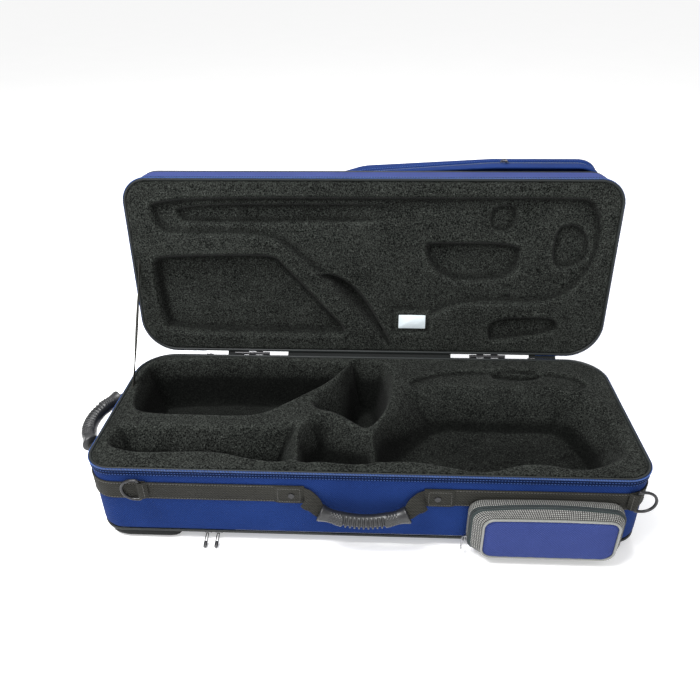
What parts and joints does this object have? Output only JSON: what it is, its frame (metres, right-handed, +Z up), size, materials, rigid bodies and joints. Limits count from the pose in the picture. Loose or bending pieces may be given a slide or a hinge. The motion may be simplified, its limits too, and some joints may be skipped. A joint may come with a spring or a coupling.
{
  "type": "saxophone case",
  "caption": "Zipped, padded case for a tenor saxophone, standing open: fitted lining, hinged lid on a stay, carrying handles and rings, outside pockets.",
  "frame": {"origin": "the middle of the case's footprint, on the surface that it stands on, which is the flat underside of the harness pouch", "axes": "+X along the case to the end that takes the bell, +Y to the hinge side, +Z up"},
  "size_m": [0.9013, 0.5259, 0.4696],
  "materials": {
    "foam_board": "stiff foam board",
    "blue_weave": "woven nylon",
    "black_plush": "short pile",
    "black_piping": "satin",
    "grey_piping": "satin",
    "blue_zip": "coil zip on tape",
    "black_zip": "coil zip on tape",
    "webbing": "woven tape",
    "rivet_metal": "blackened",
    "hinge_metal": "black",
    "black_cloth": "woven nylon",
    "spacer_mesh": "open mesh",
    "white_label": "woven label, blank",
    "grip_rubber": "moulded",
    "black_ring": "satin",
    "zip_metal": "gunmetal"
  },
  "bodies": {
    "base": {"base_core": "foam_board", "base_cover": "blue_weave", "base_lining": "black_plush", "base_rim_binding": "black_piping", "base_edge_piping": "black_piping", "base_zip": "blue_zip", "side_band": "webbing", "ring_tabs": "webbing", "front_handle_anchors": "webbing", "side_handle_anchors": "webbing", "handle_rivets": "rivet_metal", "hinge_base_leaves": "hinge_metal", "hinge_pins": "hinge_metal", "harness_pouch": "black_cloth", "harness_zip": "black_zip", "backpack_straps": "webbing", "pocket_back": "spacer_mesh", "base_stay_anchor": "webbing", "left_main_slider": "zip_metal", "right_main_slider": "zip_metal", "lid_stay": "webbing"},
    "lid": {"lid_core": "foam_board", "lid_cover": "blue_weave", "lid_lining": "black_plush", "lid_rim_binding": "black_piping", "lid_edge_piping": "black_piping", "lid_zip": "blue_zip", "lining_label": "white_label", "hinge_lid_leaves": "hinge_metal", "lid_pocket_back": "blue_weave", "lid_stay_anchor": "webbing"},
    "lid_pocket_front": {"lid_pocket_flap": "blue_weave", "lid_pocket_piping": "black_piping"},
    "front_handle": {"front_handle_grip": "grip_rubber", "front_handle_straps": "webbing"},
    "side_handle": {"side_handle_grip": "grip_rubber", "side_handle_straps": "webbing"},
    "left_ring": {"left_ring": "black_ring"},
    "right_ring": {"right_ring": "black_ring"},
    "pocket_front": {"pocket_flap": "spacer_mesh", "pocket_face": "blue_weave", "pocket_piping": "grey_piping"},
    "left_main_pull": {"left_main_pull": "zip_metal"},
    "right_main_pull": {"right_main_pull": "zip_metal"},
    "pocket_slider": {"pocket_slider": "zip_metal"},
    "pocket_pull": {"pocket_pull": "zip_metal"},
    "lid_pocket_slider": {"lid_pocket_slider": "zip_metal"},
    "lid_pocket_pull": {"lid_pocket_pull": "zip_metal"},
    "left_harness_slider": {"left_harness_slider": "zip_metal"},
    "left_harness_pull": {"left_harness_pull": "zip_metal"},
    "right_harness_slider": {"right_harness_slider": "zip_metal"},
    "right_harness_pull": {"right_harness_pull": "zip_metal"}
  },
  "joints": [
    {"name": "lid_hinge", "type": "hinge", "parent": "base", "child": "lid", "pos_m": [0, 0.162, 0.1445], "axis": [1, 0, 0], "range_deg": [0, 95], "deforming": ["lid_stay"]},
    {"name": "lid_pocket_fold", "type": "hinge", "parent": "lid", "child": "lid_pocket_front", "pos_m": [0.18, 0.27507, 0.19885], "axis": [1, 0, 0], "range_deg": [-75, 0]},
    {"name": "front_handle_swing", "type": "hinge", "parent": "base", "child": "front_handle", "pos_m": [0, -0.164, 0.101], "axis": [1, 0, 0], "range_deg": [-110, 0]},
    {"name": "side_handle_swing", "type": "hinge", "parent": "base", "child": "side_handle", "pos_m": [-0.421, 0.012, 0.101], "axis": [0, 1, 0], "range_deg": [-60, 50]},
    {"name": "left_ring_swing", "type": "hinge", "parent": "base", "child": "left_ring", "pos_m": [-0.332, -0.1627, 0.105], "axis": [0, 0, 1], "range_deg": [0, 150]},
    {"name": "right_ring_swing", "type": "hinge", "parent": "base", "child": "right_ring", "pos_m": [0.39, -0.1627, 0.105], "axis": [0, 0, 1], "range_deg": [-110, 0]},
    {"name": "pocket_fold", "type": "hinge", "parent": "base", "child": "pocket_front", "pos_m": [0.264, -0.192, 0.0185], "axis": [1, 0, 0], "range_deg": [0, 85]},
    {"name": "left_main_pull_swing", "type": "hinge", "parent": "base", "child": "left_main_pull", "pos_m": [-0.296, 0.1648, 0.1393], "axis": [1, 0, 0], "range_deg": [0, 85]},
    {"name": "right_main_pull_swing", "type": "hinge", "parent": "base", "child": "right_main_pull", "pos_m": [0.296, 0.1648, 0.1393], "axis": [1, 0, 0], "range_deg": [0, 85]},
    {"name": "pocket_slider_run", "type": "slide", "parent": "base", "child": "pocket_slider", "axis": [0, 0, 1], "range_m": [0, 0.034]},
    {"name": "pocket_pull_swing", "type": "hinge", "parent": "pocket_slider", "child": "pocket_pull", "pos_m": [0.146, -0.1719, 0.033], "axis": [0, 1, 0], "range_deg": [0, 150]},
    {"name": "lid_pocket_slider_run", "type": "slide", "parent": "lid", "child": "lid_pocket_slider", "axis": [1, 0, 0], "range_m": [0, 0.12]},
    {"name": "lid_pocket_pull_swing", "type": "hinge", "parent": "lid_pocket_slider", "child": "lid_pocket_pull", "pos_m": [0.233, 0.29851, 0.46683], "axis": [1, 0, 0], "range_deg": [-150, 0]},
    {"name": "left_harness_slider_run", "type": "slide", "parent": "base", "child": "left_harness_slider", "axis": [1, 0, 0], "range_m": [-0.03, 0]},
    {"name": "left_harness_pull_swing", "type": "hinge", "parent": "left_harness_slider", "child": "left_harness_pull", "pos_m": [-0.244, -0.1551, 0.0096], "axis": [1, 0, 0], "range_deg": [-60, 0]},
    {"name": "right_harness_slider_run", "type": "slide", "parent": "base", "child": "right_harness_slider", "axis": [1, 0, 0], "range_m": [0, 0.012]},
    {"name": "right_harness_pull_swing", "type": "hinge", "parent": "right_harness_slider", "child": "right_harness_pull", "pos_m": [-0.227, -0.1551, 0.0096], "axis": [1, 0, 0], "range_deg": [-60, 0]}
  ]
}
